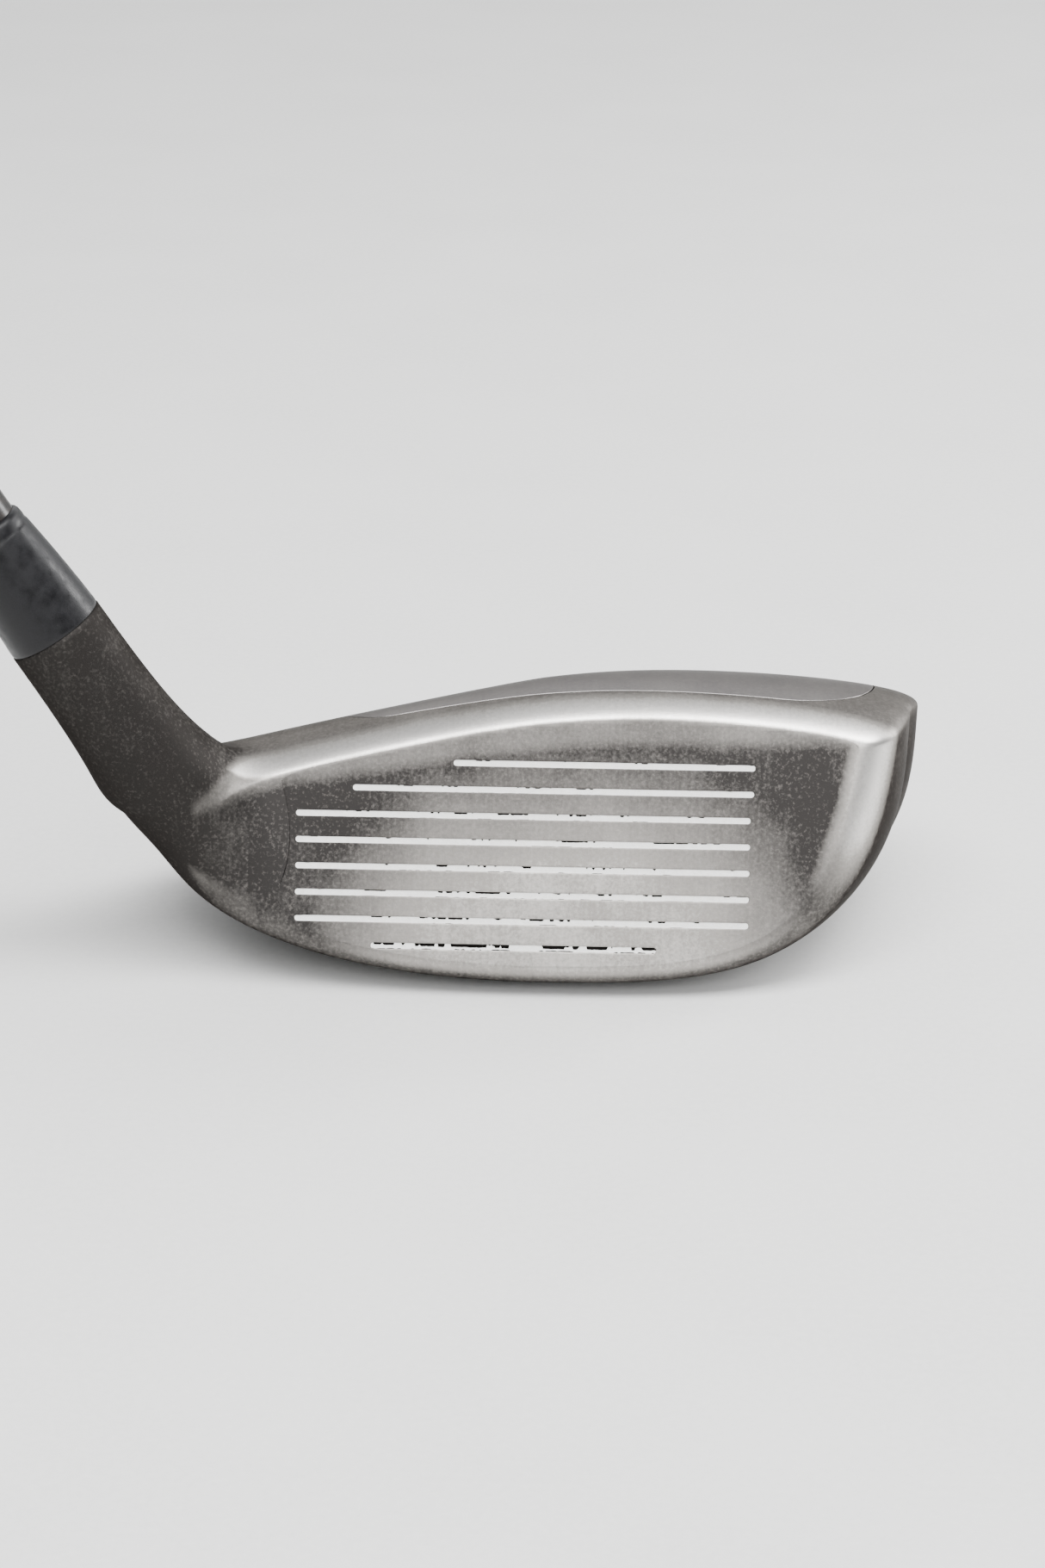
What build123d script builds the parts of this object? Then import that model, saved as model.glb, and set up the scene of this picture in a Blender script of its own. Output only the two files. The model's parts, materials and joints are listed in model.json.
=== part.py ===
from build123d import *

import math
import os

import numpy as np

# A left-handed hybrid golf club: a hollow steel head with a milled face plate and a
# let-in crown plate, a bonded ferrule and graphite shaft, and a moulded rubber grip.
#
# Frame: origin on the ground at the keel of the sole, below the middle of the face.
# +X towards the toe, +Y away from the target side (behind the face), +Z up.
# The shaft leans towards -X by the lie angle and stays in a plane parallel to XZ.

# ---------------------------------------------------------------- driving dimensions
LOFT = 21.5                 # face tilt back from vertical, degrees
LIE = 57.5                  # shaft axis above the ground, degrees
FACE_Y = -26.0              # where the face plane meets the ground
CLUB_LENGTH = 1022.0        # along the shaft axis, ground to grip cap

# head body: a rounded box whose three directions follow power curves
MID_X = 3.1                 # widest section of the body, across
TOE_REACH = 50.0            # from there to the toe
HEEL_REACH = 52.0           # from there to the heel end of the body
BACK_REACH = 31.5           # from the origin to the back edge
FRONT_REACH = 39.7          # forward, where the face plane has not cut it yet
TOE_TAPER = 0.30            # narrowing of the toe towards the face, mm per mm
TOE_TAPER_Y = -1.0          # where that narrowing starts
BACK_SKEW = 0.25            # the back edge leans to the toe, mm per mm
RIM_HEIGHT = 32.1           # rim between crown and skirt, above the ground at the front
RIM_LOWEST = 13.0           # and at the back of the heel
RIM_HEEL_FALL = 0.17        # the rim falls towards the heel, mm per mm
RIM_HEEL_X = 6.2            # where that fall starts
RIM_BACK_FALL = 0.011       # the rim curves down towards the back, per mm
RIM_BACK_HEEL = 0.001       # and more so towards the heel
RIM_BACK_Y = -7.0           # where that curve starts
CROWN_RISE = 6.2            # crown above the rim
TOE_POWER = 3.0             # squareness of the plan at the toe
HEEL_POWER = 2.0            # squareness of the plan at the heel
BACK_POWER = 2.5            # squareness of the plan at the back
SOLE_POWER = 3.3            # squareness of the lower half
SOLE_DOME = 1.2             # above 1 the sole stays flat for longer
CROWN_POWER = 2.4           # squareness of the crown
CROWN_DOME = 0.52           # below 1 the crown rounds over sooner
EDGE_RADIUS = 4.0           # rounding of the face's rim along the top
LEADING_RADIUS = 2.8        # and along the leading edge
LEADING_HEIGHTS = (8.0, 24.0)  # heights between which one changes into the other
TAPER_START = 6.0           # softness of the start of the toe taper
FALL_START = 15.0           # softness of the start of the heel fall
LOWEST_START = 8.0          # softness of the change to the lowest rim
KEEL_FLAT = 0.15            # the sole is flattened by this much where it rests

# hosel
HOSEL_FOOT_X = -30.5        # where the shaft axis meets the ground
HOSEL_Y = -16.0             # the plane of the shaft axis
HOSEL_RADIUS = 6.6
HOSEL_TOP = 57.6            # hosel end, measured from the ground along the axis
HOSEL_FOOT = 34.0           # the round hosel is full down to here
HOSEL_END = 1.7             # its end inside the heel is this many times longer than a ball
HOSEL_BLEND = 13.5          # width of the blend between hosel and body
BORE_RADIUS = 4.85
BORE_DEPTH = 32.0
PLUG_THICKNESS = 2.0

# head walls and plates
WALL = 1.5
FACE_THICKNESS = 2.5
FACE_STEP = 0.4             # the plate stands this far into the hollow behind it
CROWN_EDGE_INSET = 6.0      # crown plate edge inside the rim
CROWN_SEAM_Y = -7.2         # front edge of the crown plate
CROWN_HEEL_X = -26.0        # heel edge of the crown plate
CROWN_CORNER = 9.0          # rounding of the crown plate's corners
CROWN_CENTRE = (8.0, 6.0)   # inside the crown plate's outline
CROWN_CUT_HEIGHT = 21.0     # the crown plate's edges are cut straight down to a slope
CROWN_CUT_TILT = 17.0       # that falls towards the back by this angle

# face plate and score lines, heights along the face from where it meets the ground
PLATE_CENTRE = (2.0, 20.0)  # inside the flat of the face: across, up the face
PLATE_HOSEL_GAP = 9.0       # the plate ends this far from the hosel
PLATE_CORNER = 4.0          # rounding of the plate outline
GROOVE_WIDTH = 0.9
GROOVE_DEPTH = 0.45
GROOVE_PITCH = 3.5
LOWEST_GROOVE = 7.6
PAINT_RECESS = 0.08         # paint surface below the face
LINE_HALF = 30.2            # half length of a full score line
SCORE_LINES = (             # left and right end of each line, from the top one down
    (-9.4, 30.7),
    (-22.7, 30.6),
    (-LINE_HALF, LINE_HALF),
    (-LINE_HALF, LINE_HALF),
    (-LINE_HALF, LINE_HALF),
    (-LINE_HALF, LINE_HALF),
    (-LINE_HALF, LINE_HALF),
    (-20.0, 18.0),
)

# ferrule, shaft and grip: radii, with distances along the axis from the ground
FERRULE_LENGTH = 16.5
FERRULE_WAIST = (9.0, 6.0)  # radius part way up: height above the hosel end, radius
FERRULE_TOP_RADIUS = 5.2
FERRULE_BORE_RADIUS = 4.75
SHAFT_TIP_RADIUS = 4.70
SHAFT_PARALLEL = 110.0      # the parallel tip section ends here
SHAFT_BUTT_RADIUS = 7.62
SHAFT_TIP_WALL = 1.5
SHAFT_BUTT_WALL = 1.0
TIP_WEIGHT_LENGTH = 22.0
TIP_WEIGHT_CLEARANCE = 0.05
GRIP_LENGTH = 267.0
GRIP_MOUTH_RADIUS = 8.9
GRIP_BUTT_RADIUS = 13.1
GRIP_SWELL = (0.55, 10.6)   # share of the length from the mouth, radius there
TAPE_THICKNESS = 0.15
CAP_THICKNESS = 3.0
CAP_EDGE = 1.4
VENT_RADIUS = 2.0

# pieces inside the head
SOLE_WEIGHT_SIZE = (36.0, 14.0, 6.0)
SOLE_WEIGHT_CENTRE = (4.0, 2.0)
DAMPER_SIZE = (24.0, 9.0, 14.0)
DAMPER_CENTRE = (14.0, 27.0, 13.0)

# how finely the head is sampled
SECTION_POINTS = 72
HOSEL_SECTIONS = 7
BEND_SECTIONS = 10
BODY_SECTIONS = 9
TOE_SECTIONS = 10
LAST_TOE_ANGLE = 1.47       # radians of the quarter turn that rounds the toe
SPINE_HEIGHT = 24.0
SPINE_Y = -2.0
SPINE_SPAN = 30.0
SPINE_TOE_X = 33.0          # from here the sections close in on the toe's tip
SPINE_TOE_SPAN = 21.0
TOE_TIP = (9.5, 28.0)       # where the toe reaches furthest: backward, up
BEND_RADIUS = 13.5
HOLLOW_SECTIONS = 15
HOLLOW_ENDS = (-33.0, 50.3)
HOLLOW_CENTRE = (0.0, 21.0)
LAST_HOLLOW_ANGLE = 1.40
RAY_LENGTH = 75.0
SOLVER_STEPS = 40
PROBE = 1.0e-3
LEAST_SLOPE = 1.0 / 40.0
OVER = 8.0                  # how far a cutting tool runs past the surface it cuts

ACROSS = np.array([1.0, 0.0, 0.0])
BACKWARD = np.array([0.0, 1.0, 0.0])
UPWARD = np.array([0.0, 0.0, 1.0])
SHAFT_DIR = np.array([-math.cos(math.radians(LIE)), 0.0, math.sin(math.radians(LIE))])
SHAFT_FOOT = np.array([HOSEL_FOOT_X, HOSEL_Y, 0.0])
FACE_NORMAL = np.array([0.0, -math.cos(math.radians(LOFT)), math.sin(math.radians(LOFT))])
FACE_UP = np.array([0.0, math.sin(math.radians(LOFT)), math.cos(math.radians(LOFT))])
FACE_ORIGIN = np.array([0.0, FACE_Y, 0.0])
FACE_PLANE = Plane(origin=tuple(FACE_ORIGIN), x_dir=tuple(ACROSS), z_dir=tuple(FACE_NORMAL))
SHAFT_PLANE = Plane(origin=tuple(SHAFT_FOOT), x_dir=tuple(BACKWARD), z_dir=tuple(SHAFT_DIR))
BORE_BOTTOM = HOSEL_TOP - BORE_DEPTH
SHAFT_START = BORE_BOTTOM + PLUG_THICKNESS
SHAFT_END = CLUB_LENGTH - CAP_THICKNESS
GRIP_START = CLUB_LENGTH - GRIP_LENGTH


# ---------------------------------------------------------------- shape of the head
def ramp(t, width):
    """A line that starts from zero smoothly, over about the given width."""
    return (t + np.sqrt(t * t + width * width)) / 2


def smooth_step(t):
    """0 below 0, 1 above 1, with level ends."""
    t = np.clip(t, 0.0, 1.0)
    return t * t * (3.0 - 2.0 * t)


def rounded_cut(a, b, radius):
    """The part inside both shapes, with their common edge rounded."""
    outside = np.hypot(np.maximum(radius + a, 0.0), np.maximum(radius + b, 0.0))
    return np.minimum(-radius, np.maximum(a, b)) + outside


def blended_join(a, b, width):
    """Both shapes together, with the corner between them filled smoothly."""
    overlap = np.maximum(width - np.abs(a - b), 0.0) / width
    return np.minimum(a, b) - overlap**3 * width / 6


def rim_height(x, y):
    """Height of the widest line of the body, between crown and skirt."""
    heel = ramp(RIM_HEEL_X - x, FALL_START)
    back = np.maximum(y - RIM_BACK_Y, 0.0)
    fall = RIM_HEEL_FALL * heel + (RIM_BACK_FALL + RIM_BACK_HEEL * heel) * back**2
    return RIM_LOWEST + ramp(RIM_HEIGHT - fall - RIM_LOWEST, LOWEST_START)


def body_plan(x, y, inset):
    """1 on the body's outline in plan, less inside it: two powers added up."""
    dx = x - MID_X - BACK_SKEW * np.maximum(y, 0.0)
    toe = TOE_REACH - TOE_TAPER * ramp(TOE_TAPER_Y - y, TAPER_START)
    reach_x = np.where(dx > 0, toe, HEEL_REACH) - inset
    reach_y = np.where(y > 0, BACK_REACH, FRONT_REACH) - inset
    across = (np.abs(dx) / reach_x) ** np.where(dx > 0, TOE_POWER, HEEL_POWER)
    return across + (np.abs(y) / reach_y) ** BACK_POWER


def body_power(p, inset):
    """Below zero inside the body: the powers of its plan and its height, less one."""
    x, y = p[..., 0], p[..., 1]
    rim = rim_height(x, y)
    dz = p[..., 2] + KEEL_FLAT - rim
    reach_z = np.where(dz > 0, CROWN_RISE, rim) - inset
    plan = body_plan(x, y, inset) ** np.where(dz > 0, CROWN_DOME, SOLE_DOME)
    return plan + (np.abs(dz) / reach_z) ** np.where(dz > 0, CROWN_POWER, SOLE_POWER) - 1.0


def body_distance(p, inset=0.0):
    """Distance to the body: its power sum over that sum's own slope."""
    here = body_power(p, inset)
    slopes = [(body_power(p + step, inset) - here) / PROBE for step in PROBE * np.eye(3)]
    steepness = np.sqrt(sum(slope**2 for slope in slopes))
    return here / np.maximum(steepness, LEAST_SLOPE)


def hosel_distance(p):
    """Distance to the round hosel, which ends in a long ball inside the heel."""
    away = p - SHAFT_FOOT
    along = away @ SHAFT_DIR
    off_axis = away - along[..., None] * SHAFT_DIR
    below = np.minimum(along - HOSEL_FOOT, 0.0) / HOSEL_END
    return np.sqrt((off_axis**2).sum(axis=-1) + below**2) - HOSEL_RADIUS


def face_distance(p):
    """Distance in front of the face plane."""
    return (p - FACE_ORIGIN) @ FACE_NORMAL


def edge_radius(z):
    """Rounding of the face's rim: tighter along the leading edge."""
    low, high = LEADING_HEIGHTS
    return LEADING_RADIUS + (EDGE_RADIUS - LEADING_RADIUS) * smooth_step((z - low) / (high - low))


def head_distance(p):
    """Distance to the outside of the head: body cut by the face, joined to the hosel."""
    cut = rounded_cut(body_distance(p), face_distance(p), edge_radius(p[..., 2]))
    return blended_join(cut, hosel_distance(p), HOSEL_BLEND)


def hollow_distance(p):
    """Distance to the hollow inside the head."""
    face = face_distance(p) + FACE_THICKNESS - FACE_STEP
    return rounded_cut(body_distance(p, WALL), face, WALL)


def plate_limit(p):
    """Below zero on the flat of the face, clear of its rounded rim and of the hosel."""
    rim = body_distance(p) + edge_radius(p[..., 2])
    return rounded_cut(rim, PLATE_HOSEL_GAP - hosel_distance(p), PLATE_CORNER)


def crown_limit(p):
    """Below zero inside the crown plate's outline, whatever the height."""
    plan = body_plan(p[..., 0], p[..., 1], CROWN_EDGE_INSET)
    rim = (plan ** (1.0 / BACK_POWER) - 1.0) * BACK_REACH
    front = rounded_cut(rim, CROWN_SEAM_Y - p[..., 1], CROWN_CORNER)
    return rounded_cut(front, CROWN_HEEL_X - p[..., 0], CROWN_CORNER)


def surface_points(shape, origins, directions):
    """Where each ray leaves the shape, by halving the interval."""
    near = np.zeros(directions.shape[:-1])
    far = np.full(directions.shape[:-1], RAY_LENGTH)
    for _ in range(SOLVER_STEPS):
        middle = (near + far) / 2
        inside = shape(origins + middle[..., None] * directions) < 0
        near = np.where(inside, middle, near)
        far = np.where(inside, far, middle)
    return origins + near[..., None] * directions


def even_ring(shape, origin, first, second):
    """A closed section of the shape, with its points evenly spaced along it."""
    turn = np.linspace(0.0, 2 * np.pi, 8 * SECTION_POINTS, endpoint=False)[:, None]
    fine = surface_points(shape, origin, np.cos(turn) * first + np.sin(turn) * second)
    loop = np.vstack([fine, fine[:1]])
    length = np.concatenate([[0.0], np.cumsum(np.linalg.norm(np.diff(loop, axis=0), axis=1))])
    wanted = np.linspace(0.0, length[-1], SECTION_POINTS, endpoint=False)
    return np.stack([np.interp(wanted, length, loop[:, i]) for i in range(3)], axis=-1)


def spine_point(x):
    """A point inside the head at this distance across."""
    back = smooth_step((x - HOSEL_FOOT_X) / SPINE_SPAN)
    toe = smooth_step((x - SPINE_TOE_X) / SPINE_TOE_SPAN)
    y = HOSEL_Y + (SPINE_Y - HOSEL_Y) * back + (TOE_TIP[0] - SPINE_Y) * toe
    return np.array([x, y, SPINE_HEIGHT + (TOE_TIP[1] - SPINE_HEIGHT) * toe])


def spine_sections():
    """Origin and up direction of each section, from the hosel end round to the toe."""
    lie = math.radians(LIE)
    hosel_up = np.array([math.sin(lie), 0.0, math.cos(lie)])
    bend_top = (SPINE_HEIGHT + BEND_RADIUS * (1.0 - hosel_up[2])) / SHAFT_DIR[2]
    pivot = SHAFT_FOOT + bend_top * SHAFT_DIR + BEND_RADIUS * hosel_up
    sections = []
    for along in np.linspace(HOSEL_TOP, bend_top, HOSEL_SECTIONS, endpoint=False):
        sections.append((SHAFT_FOOT + along * SHAFT_DIR, hosel_up))
    for angle in np.linspace(lie, 0.0, BEND_SECTIONS, endpoint=False):
        up = np.array([math.sin(angle), 0.0, math.cos(angle)])
        origin = pivot - BEND_RADIUS * up
        sections.append((spine_point(origin[0]) * BACKWARD + origin * (ACROSS + UPWARD), up))
    toe_tip = surface_points(head_distance, np.array([SPINE_TOE_X, *TOE_TIP]), ACROSS)[0]
    straight = np.linspace(pivot[0], SPINE_TOE_X, BODY_SECTIONS, endpoint=False)
    quarter = np.linspace(0.0, LAST_TOE_ANGLE, TOE_SECTIONS)
    rounding = SPINE_TOE_X + (toe_tip - SPINE_TOE_X) * np.sin(quarter)
    for x in np.concatenate([straight, rounding]):
        sections.append((spine_point(x), UPWARD))
    return sections


# ---------------------------------------------------------------- solids from rings
def ring_wire(ring):
    """A smooth closed wire through a ring of points."""
    share = [i / len(ring) for i in range(len(ring) + 1)]
    points = [tuple(point) for point in ring]
    return Wire([Edge.make_spline(points, periodic=True, parameters=share)])


def lofted(rings):
    """A solid through closed rings of points, flat at both ends."""
    return Solid.make_loft([ring_wire(ring) for ring in rings])


def prism(ring, direction, start, end):
    """The ring carried straight along a direction, between two distances."""
    base = Face(ring_wire(ring + start * direction))
    return Solid.extrude(base, Vector(*((end - start) * direction)))


def turned(edges):
    """A solid turned about the shaft axis; edges lie in radius and distance."""
    return SHAFT_PLANE * revolve(Plane.XZ * make_face(edges), Axis.Z)


# ---------------------------------------------------------------- head
def outer_skin():
    """The whole outside of the head, flat at the hosel end and where it rests."""
    head = lofted([even_ring(head_distance, origin, up, BACKWARD) for origin, up in spine_sections()])
    return head - Pos(0, 0, -OVER / 2) * Box(4 * TOE_REACH, 4 * TOE_REACH, OVER)


def hollow():
    """The space inside the head, between its two flat ends."""
    middle = sum(HOLLOW_ENDS) / 2
    half = (HOLLOW_ENDS[1] - HOLLOW_ENDS[0]) / 2
    angles = np.linspace(-LAST_HOLLOW_ANGLE, LAST_HOLLOW_ANGLE, HOLLOW_SECTIONS)
    origins = [np.array([x, *HOLLOW_CENTRE]) for x in middle + half * np.sin(angles)]
    return lofted([even_ring(hollow_distance, origin, UPWARD, BACKWARD) for origin in origins])


def plate_ring():
    """Outline of the face plate, on the face plane."""
    centre = FACE_ORIGIN + PLATE_CENTRE[0] * ACROSS + PLATE_CENTRE[1] * FACE_UP
    return even_ring(plate_limit, centre, FACE_UP, ACROSS)


def crown_ring():
    """Outline of the crown plate in plan."""
    return even_ring(crown_limit, np.array([*CROWN_CENTRE, 0.0]), BACKWARD, ACROSS)


def score_slot(number, top, bottom):
    """A straight slot with round ends in the face, between two depths."""
    left, right = SCORE_LINES[number]
    height = LOWEST_GROOVE + GROOVE_PITCH * (len(SCORE_LINES) - 1 - number)
    outline = Pos((left + right) / 2, height, -top) * SlotOverall(right - left, GROOVE_WIDTH)
    return FACE_PLANE * extrude(outline, -(bottom - top))


def face_plate():
    """Flat plate welded into the front, with its score lines cut."""
    plate = prism(plate_ring(), FACE_NORMAL, -FACE_THICKNESS, 0.0)
    for number in range(len(SCORE_LINES)):
        plate = plate - score_slot(number, -OVER, GROOVE_DEPTH)
    return plate


def score_paint(number):
    """Paint in one score line, a little below the face."""
    return score_slot(number, PAINT_RECESS, GROOVE_DEPTH)


def crown_cutter():
    """The space of the crown plate's outline, from inside the head to above it."""
    column = prism(crown_ring(), UPWARD, 0.0, RIM_HEIGHT + CROWN_RISE + OVER)
    size = 4 * TOE_REACH
    upper = Pos(0, 0, CROWN_CUT_HEIGHT) * Rot(X=-CROWN_CUT_TILT) * Pos(0, 0, size / 2) * Box(size, size, size)
    return column & upper


def head_body(skin, space):
    """Casting of sole, skirt, back and hosel, open where the two plates go."""
    opening = prism(plate_ring(), FACE_NORMAL, -FACE_THICKNESS, OVER)
    bore = turned(Polyline((0, BORE_BOTTOM), (BORE_RADIUS, BORE_BOTTOM), (BORE_RADIUS, HOSEL_TOP + OVER),
                           (0, HOSEL_TOP + OVER), close=True))
    return skin - space - opening - crown_cutter() - bore


def crown_plate(skin, space):
    """Thin plate let into the top of the head."""
    return (skin & crown_cutter()) - space


def sole_weight(space):
    """Steel block that sits on the inside of the sole."""
    x, y = SOLE_WEIGHT_CENTRE
    block = Pos(x, y, SOLE_WEIGHT_SIZE[2] / 2) * Box(*SOLE_WEIGHT_SIZE)
    return block & space


def damper_pad(space):
    """Hot-melt pad stuck to the inside of the back."""
    return (Pos(*DAMPER_CENTRE) * Box(*DAMPER_SIZE)) & space


# ---------------------------------------------------------------- along the shaft axis
def shaft_radius(along):
    """Outer radius of the shaft: parallel at the tip, then an even taper."""
    share = max(along - SHAFT_PARALLEL, 0.0) / (SHAFT_END - SHAFT_PARALLEL)
    return SHAFT_TIP_RADIUS + (SHAFT_BUTT_RADIUS - SHAFT_TIP_RADIUS) * share


def hosel_plug():
    """Disc that closes the bottom of the bore."""
    return turned(Polyline((0, BORE_BOTTOM), (BORE_RADIUS, BORE_BOTTOM), (BORE_RADIUS, SHAFT_START),
                           (0, SHAFT_START), close=True))


def epoxy_sleeve():
    """Bond line between shaft and bore."""
    return turned(Polyline((SHAFT_TIP_RADIUS, SHAFT_START), (BORE_RADIUS, SHAFT_START),
                           (BORE_RADIUS, HOSEL_TOP), (SHAFT_TIP_RADIUS, HOSEL_TOP), close=True))


def shaft():
    """Tapered tube from the bottom of the bore to the grip cap."""
    tip_bore = SHAFT_TIP_RADIUS - SHAFT_TIP_WALL
    butt_bore = SHAFT_BUTT_RADIUS - SHAFT_BUTT_WALL
    return turned(Polyline(
        (tip_bore, SHAFT_START),
        (SHAFT_TIP_RADIUS, SHAFT_START),
        (SHAFT_TIP_RADIUS, SHAFT_PARALLEL),
        (SHAFT_BUTT_RADIUS, SHAFT_END),
        (butt_bore, SHAFT_END),
        (tip_bore, SHAFT_PARALLEL),
        close=True,
    ))


def tip_weight():
    """Brass pin in the shaft tip."""
    radius = SHAFT_TIP_RADIUS - SHAFT_TIP_WALL - TIP_WEIGHT_CLEARANCE
    top = SHAFT_START + TIP_WEIGHT_LENGTH
    return turned(Polyline((0, SHAFT_START), (radius, SHAFT_START), (radius, top), (0, top), close=True))


def ferrule():
    """Collar that carries the hosel's line on to the shaft."""
    top = HOSEL_TOP + FERRULE_LENGTH
    shoulder = FERRULE_TOP_RADIUS - FERRULE_BORE_RADIUS
    side = Spline((HOSEL_RADIUS, HOSEL_TOP), (FERRULE_WAIST[1], HOSEL_TOP + FERRULE_WAIST[0]),
                  (FERRULE_TOP_RADIUS, top - shoulder))
    crest = Line(side @ 1, (FERRULE_BORE_RADIUS, top))
    bore = Line((FERRULE_BORE_RADIUS, top), (FERRULE_BORE_RADIUS, HOSEL_TOP))
    return turned(side + crest + bore + Line((FERRULE_BORE_RADIUS, HOSEL_TOP), (HOSEL_RADIUS, HOSEL_TOP)))


def grip_tape():
    """Tape layer between shaft and grip."""
    low, high = shaft_radius(GRIP_START), SHAFT_BUTT_RADIUS
    return turned(Polyline((low, GRIP_START), (low + TAPE_THICKNESS, GRIP_START),
                           (high + TAPE_THICKNESS, SHAFT_END), (high, SHAFT_END), close=True))


def grip():
    """Moulded sleeve, swelling towards the butt."""
    low = shaft_radius(GRIP_START) + TAPE_THICKNESS
    high = SHAFT_BUTT_RADIUS + TAPE_THICKNESS
    swell = (GRIP_SWELL[1], GRIP_START + GRIP_SWELL[0] * GRIP_LENGTH)
    side = Spline((GRIP_MOUTH_RADIUS, GRIP_START), swell, (GRIP_BUTT_RADIUS, SHAFT_END))
    end = Line((GRIP_BUTT_RADIUS, SHAFT_END), (high, SHAFT_END))
    bore = Line((high, SHAFT_END), (low, GRIP_START))
    return turned(side + end + bore + Line((low, GRIP_START), (GRIP_MOUTH_RADIUS, GRIP_START)))


def grip_cap():
    """Closed end of the grip, with its vent hole."""
    edge = GRIP_BUTT_RADIUS - CAP_EDGE
    return turned(Polyline((VENT_RADIUS, SHAFT_END), (GRIP_BUTT_RADIUS, SHAFT_END),
                           (GRIP_BUTT_RADIUS, CLUB_LENGTH - CAP_EDGE), (edge, CLUB_LENGTH),
                           (VENT_RADIUS, CLUB_LENGTH), close=True))


# ---------------------------------------------------------------- write the parts
def main():
    """Build every piece and write one file for each."""
    os.makedirs("parts", exist_ok=True)
    skin = outer_skin()
    space = hollow()
    pieces = {
        "head_body": head_body(skin, space),
        "face_plate": face_plate(),
        "crown_plate": crown_plate(skin, space),
        "sole_weight": sole_weight(space),
        "damper_pad": damper_pad(space),
        "hosel_plug": hosel_plug(),
        "epoxy_sleeve": epoxy_sleeve(),
        "ferrule": ferrule(),
        "shaft": shaft(),
        "tip_weight": tip_weight(),
        "grip_tape": grip_tape(),
        "grip": grip(),
        "grip_cap": grip_cap(),
    }
    for number in range(len(SCORE_LINES)):
        pieces[f"score_line_{number + 1}"] = score_paint(number)
    for name, piece in pieces.items():
        export_step(piece, f"parts/{name}.step")


main()
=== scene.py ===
import json
import logging
import math
from dataclasses import dataclass
from enum import Enum
from typing import Any, Sequence

import bpy
import numpy as np
from mathutils import Matrix, Vector


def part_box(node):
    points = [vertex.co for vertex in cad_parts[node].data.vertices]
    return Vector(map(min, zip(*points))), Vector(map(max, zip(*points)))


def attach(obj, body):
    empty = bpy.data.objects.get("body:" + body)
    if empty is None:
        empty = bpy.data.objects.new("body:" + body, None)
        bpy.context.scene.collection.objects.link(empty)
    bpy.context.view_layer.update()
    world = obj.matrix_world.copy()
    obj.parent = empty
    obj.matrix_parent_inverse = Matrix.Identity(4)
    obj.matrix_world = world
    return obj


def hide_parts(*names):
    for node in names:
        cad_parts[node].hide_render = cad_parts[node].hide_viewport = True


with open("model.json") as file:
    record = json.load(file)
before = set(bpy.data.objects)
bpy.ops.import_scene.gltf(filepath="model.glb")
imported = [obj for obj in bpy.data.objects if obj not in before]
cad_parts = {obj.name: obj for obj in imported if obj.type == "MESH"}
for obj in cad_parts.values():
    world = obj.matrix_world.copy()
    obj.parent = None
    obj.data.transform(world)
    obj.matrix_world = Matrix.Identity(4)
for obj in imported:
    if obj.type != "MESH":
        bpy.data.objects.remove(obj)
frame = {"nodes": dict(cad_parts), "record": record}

MM = 0.001
ACROSS = np.array([1.0, 0.0, 0.0])
BACKWARD = np.array([0.0, 1.0, 0.0])
UPWARD = np.array([0.0, 0.0, 1.0])

log = logging.getLogger("hybrid_club")


class Slot(Enum):
    """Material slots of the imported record."""

    CAST_STEEL = "cast_steel"
    FACE_STEEL = "face_steel"
    CROWN_STEEL_LIGHTENED = "crown_steel"
    WEIGHT_STEEL = "weight_steel"
    HOT_MELT = "hot_melt"
    PLUG_PLASTIC = "plug_plastic"
    EPOXY = "epoxy"
    FERRULE_PLASTIC = "ferrule_plastic"
    GRAPHITE = "graphite"
    BRASS = "brass"
    TAPE = "tape"
    GRIP_RUBBER = "grip_rubber"
    CAP_RUBBER = "cap_rubber"
    LINE_PAINT = "line_paint"


# ------------------------------------------------------------------ small numpy tools
def ramp(t: np.ndarray, width: float) -> np.ndarray:
    """A line that starts from zero smoothly: half of t plus the root of t squared and width squared."""
    return (t + np.sqrt(t * t + width * width)) / 2


def smooth_step(t: np.ndarray) -> np.ndarray:
    """0 below 0, 1 above 1, and three t squared less two t cubed between them."""
    t = np.clip(t, 0.0, 1.0)
    return t * t * (3.0 - 2.0 * t)


def rounded_cut(a: np.ndarray, b: np.ndarray, radius: Any) -> np.ndarray:
    """The part inside both shapes, with a circular rounding on their common edge."""
    outside = np.hypot(np.maximum(radius + a, 0.0), np.maximum(radius + b, 0.0))
    return np.minimum(-radius, np.maximum(a, b)) + outside


def blended_join(a: np.ndarray, b: np.ndarray, width: Any) -> np.ndarray:
    """Both shapes together, with a cubic filling in the corner between them."""
    overlap = np.maximum(width - np.abs(a - b), 0.0) / width
    return np.minimum(a, b) - overlap**3 * width / 6


def value_noise(u: np.ndarray, v: np.ndarray, seed: int) -> np.ndarray:
    """Smooth random values between 0 and 1 on the plane, one per unit cell.

    Args:
        u: First coordinate, any shape.
        v: Second coordinate, same shape.
        seed: Chooses the pattern.

    Returns:
        The random corner values of each cell, mixed with smooth steps.
    """
    table = np.random.default_rng(seed).random((256, 256))
    low_u, low_v = np.floor(u).astype(int), np.floor(v).astype(int)
    share_u, share_v = smooth_step(u - low_u), smooth_step(v - low_v)
    corner = [[table[(low_u + i) % 256, (low_v + j) % 256] for j in (0, 1)] for i in (0, 1)]
    near = corner[0][0] * (1 - share_v) + corner[0][1] * share_v
    far = corner[1][0] * (1 - share_v) + corner[1][1] * share_v
    return near * (1 - share_u) + far * share_u


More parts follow.
